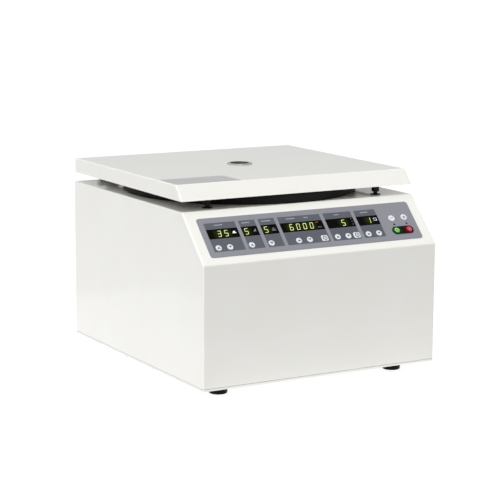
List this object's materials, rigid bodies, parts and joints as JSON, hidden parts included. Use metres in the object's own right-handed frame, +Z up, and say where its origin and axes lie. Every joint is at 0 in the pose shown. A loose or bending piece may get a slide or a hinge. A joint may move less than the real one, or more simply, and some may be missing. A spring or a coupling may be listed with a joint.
{
  "type": "microplate centrifuge",
  "caption": "Benchtop centrifuge for microplates: sloped control face, gasketed hinged lid with a viewing port, and a swing-out rotor with plate carriers in a round steel chamber.",
  "frame": {"origin": "middle of the machine's footprint, on the bench under the feet", "axes": "+Z up; +X to the right of the person at the control face; the control face is at -Y and the hinges at +Y"},
  "size_m": [0.44, 0.491, 0.335],
  "materials": {
    "white_paint": "white powder coat on steel sheet",
    "inner_steel": "bare galvanised sheet",
    "stainless": "drawn and brushed stainless steel",
    "bright_steel": "turned bright steel",
    "zinc_steel": "zinc plated steel",
    "seal_rubber": "matt black moulded rubber",
    "motor_paint": "black enamel",
    "cast_aluminium": "cast and blasted",
    "grey_plate": "light grey lacquer, bare",
    "clear_window": "clear polished",
    "smoked_lens": "dark smoked, glossy",
    "grey_overlay": "satin, grey and slate print",
    "black_plastic": "black moulded",
    "gear_plastic": "natural acetal",
    "board": "green solder mask",
    "green_key": "lit green",
    "red_key": "lit red",
    "pale_key": "pale silicone key"
  },
  "bodies": {
    "cabinet": {"housing": "white_paint", "rear_panel": "white_paint", "base_pan": "white_paint", "feet": "seal_rubber", "foot_screws": "zinc_steel", "case_screws": "zinc_steel", "chassis": "inner_steel", "guard_ring": "stainless", "bowl": "stainless", "seal_ring": "seal_rubber", "motor_body": "motor_paint", "motor_plate": "zinc_steel", "motor_dampers": "seal_rubber", "damper_bolts": "zinc_steel", "shaft_boot": "seal_rubber", "hinge_bases": "zinc_steel", "hinge_pins": "bright_steel", "latch_bezels": "black_plastic", "lock_frame": "inner_steel", "latch_motor": "motor_paint", "overlay": "grey_overlay", "window_lenses": "smoked_lens", "run_bezel": "black_plastic", "control_board": "board", "fan_frame": "black_plastic", "power_inlet": "black_plastic", "drive_unit": "cast_aluminium"},
    "lid": {"lid_shell": "white_paint", "lid_liner": "inner_steel", "port_bezel": "bright_steel", "port_window": "clear_window", "lid_plate": "grey_plate", "hinge_arms": "zinc_steel", "lid_strikers": "bright_steel"},
    "rotor": {"motor_shaft": "bright_steel", "rotor_yoke": "cast_aluminium", "rotor_nut": "bright_steel", "trunnion_pins": "bright_steel"},
    "left_carrier": {"carrier_left": "stainless"},
    "right_carrier": {"carrier_right": "stainless"},
    "lock_slide": {"lock_bar": "inner_steel"},
    "latch_gear": {"latch_pinion": "gear_plastic"},
    "fan": {"fan_impeller": "black_plastic"},
    "mains_switch": {"power_rocker": "black_plastic"},
    "rotor_up_key": {"key_rotor_up": "pale_key"},
    "rotor_down_key": {"key_rotor_down": "pale_key"},
    "accel_key": {"key_accel": "pale_key"},
    "decel_key": {"key_decel": "pale_key"},
    "speed_up_key": {"key_speed_up": "pale_key"},
    "speed_down_key": {"key_speed_down": "pale_key"},
    "speed_set_key": {"key_speed_set": "pale_key"},
    "time_up_key": {"key_time_up": "pale_key"},
    "time_down_key": {"key_time_down": "pale_key"},
    "time_set_key": {"key_time_set": "pale_key"},
    "program_up_key": {"key_program_up": "pale_key"},
    "program_down_key": {"key_program_down": "pale_key"},
    "enter_key": {"key_enter": "pale_key"},
    "lid_key": {"key_lid": "pale_key"},
    "start_key": {"key_start": "green_key"},
    "stop_key": {"key_stop": "red_key"}
  },
  "joints": [
    {"name": "lid_hinge", "type": "hinge", "parent": "cabinet", "child": "lid", "pos_m": [0, 0.2395, 0.3005], "axis": [-1, 0, 0], "range_deg": [0, 78]},
    {"name": "rotor_spin", "type": "hinge", "parent": "cabinet", "child": "rotor", "pos_m": [0, 0.03, 0.24378], "axis": [0, 0, 1], "continuous": true},
    {"name": "left_carrier_swing", "type": "hinge", "parent": "rotor", "child": "left_carrier", "pos_m": [-0.09299, 0.03, 0.22378], "axis": [0, 1, 0], "range_deg": [0, 90]},
    {"name": "right_carrier_swing", "type": "hinge", "parent": "rotor", "child": "right_carrier", "pos_m": [0.09299, 0.03, 0.22378], "axis": [0, -1, 0], "range_deg": [0, 90]},
    {"name": "lock_bar_slide", "type": "slide", "parent": "cabinet", "child": "lock_slide", "axis": [1, 0, 0], "range_m": [0, 0.0065]},
    {"name": "latch_gear_turn", "type": "hinge", "parent": "cabinet", "child": "latch_gear", "pos_m": [0.112, -0.16033, 0.2731], "axis": [0, 0, 1], "range_deg": [0, 47.1]},
    {"name": "fan_spin", "type": "hinge", "parent": "cabinet", "child": "fan", "pos_m": [0.11, 0.2185, 0.062], "axis": [0, 1, 0], "continuous": true},
    {"name": "mains_switch_tilt", "type": "hinge", "parent": "cabinet", "child": "mains_switch", "pos_m": [-0.14, 0.233, 0.0805], "axis": [1, 0, 0], "range_deg": [-24, 0]},
    {"name": "rotor_up_press", "type": "slide", "parent": "cabinet", "child": "rotor_up_key", "axis": [0, 0.7143, -0.6999], "range_m": [0, 0.0005], "stiffness_N_per_m": 300, "springref_m": -0.002},
    {"name": "rotor_down_press", "type": "slide", "parent": "cabinet", "child": "rotor_down_key", "axis": [0, 0.7143, -0.6999], "range_m": [0, 0.0005], "stiffness_N_per_m": 300, "springref_m": -0.002},
    {"name": "accel_press", "type": "slide", "parent": "cabinet", "child": "accel_key", "axis": [0, 0.7143, -0.6999], "range_m": [0, 0.0005], "stiffness_N_per_m": 300, "springref_m": -0.002},
    {"name": "decel_press", "type": "slide", "parent": "cabinet", "child": "decel_key", "axis": [0, 0.7143, -0.6999], "range_m": [0, 0.0005], "stiffness_N_per_m": 300, "springref_m": -0.002},
    {"name": "speed_up_press", "type": "slide", "parent": "cabinet", "child": "speed_up_key", "axis": [0, 0.7143, -0.6999], "range_m": [0, 0.0005], "stiffness_N_per_m": 300, "springref_m": -0.002},
    {"name": "speed_down_press", "type": "slide", "parent": "cabinet", "child": "speed_down_key", "axis": [0, 0.7143, -0.6999], "range_m": [0, 0.0005], "stiffness_N_per_m": 300, "springref_m": -0.002},
    {"name": "speed_set_press", "type": "slide", "parent": "cabinet", "child": "speed_set_key", "axis": [0, 0.7143, -0.6999], "range_m": [0, 0.0005], "stiffness_N_per_m": 300, "springref_m": -0.002},
    {"name": "time_up_press", "type": "slide", "parent": "cabinet", "child": "time_up_key", "axis": [0, 0.7143, -0.6999], "range_m": [0, 0.0005], "stiffness_N_per_m": 300, "springref_m": -0.002},
    {"name": "time_down_press", "type": "slide", "parent": "cabinet", "child": "time_down_key", "axis": [0, 0.7143, -0.6999], "range_m": [0, 0.0005], "stiffness_N_per_m": 300, "springref_m": -0.002},
    {"name": "time_set_press", "type": "slide", "parent": "cabinet", "child": "time_set_key", "axis": [0, 0.7143, -0.6999], "range_m": [0, 0.0005], "stiffness_N_per_m": 300, "springref_m": -0.002},
    {"name": "program_up_press", "type": "slide", "parent": "cabinet", "child": "program_up_key", "axis": [0, 0.7143, -0.6999], "range_m": [0, 0.0005], "stiffness_N_per_m": 300, "springref_m": -0.002},
    {"name": "program_down_press", "type": "slide", "parent": "cabinet", "child": "program_down_key", "axis": [0, 0.7143, -0.6999], "range_m": [0, 0.0005], "stiffness_N_per_m": 300, "springref_m": -0.002},
    {"name": "enter_press", "type": "slide", "parent": "cabinet", "child": "enter_key", "axis": [0, 0.7143, -0.6999], "range_m": [0, 0.0005], "stiffness_N_per_m": 300, "springref_m": -0.002},
    {"name": "lid_press", "type": "slide", "parent": "cabinet", "child": "lid_key", "axis": [0, 0.7143, -0.6999], "range_m": [0, 0.0005], "stiffness_N_per_m": 300, "springref_m": -0.002},
    {"name": "start_press", "type": "slide", "parent": "cabinet", "child": "start_key", "axis": [0, 0.7143, -0.6999], "range_m": [0, 0.0005], "stiffness_N_per_m": 300, "springref_m": -0.002},
    {"name": "stop_press", "type": "slide", "parent": "cabinet", "child": "stop_key", "axis": [0, 0.7143, -0.6999], "range_m": [0, 0.0005], "stiffness_N_per_m": 300, "springref_m": -0.002}
  ],
  "couplings": [
    {"joint": "latch_gear_turn", "follows": "lock_bar_slide", "rad_per_m": 125}
  ]
}
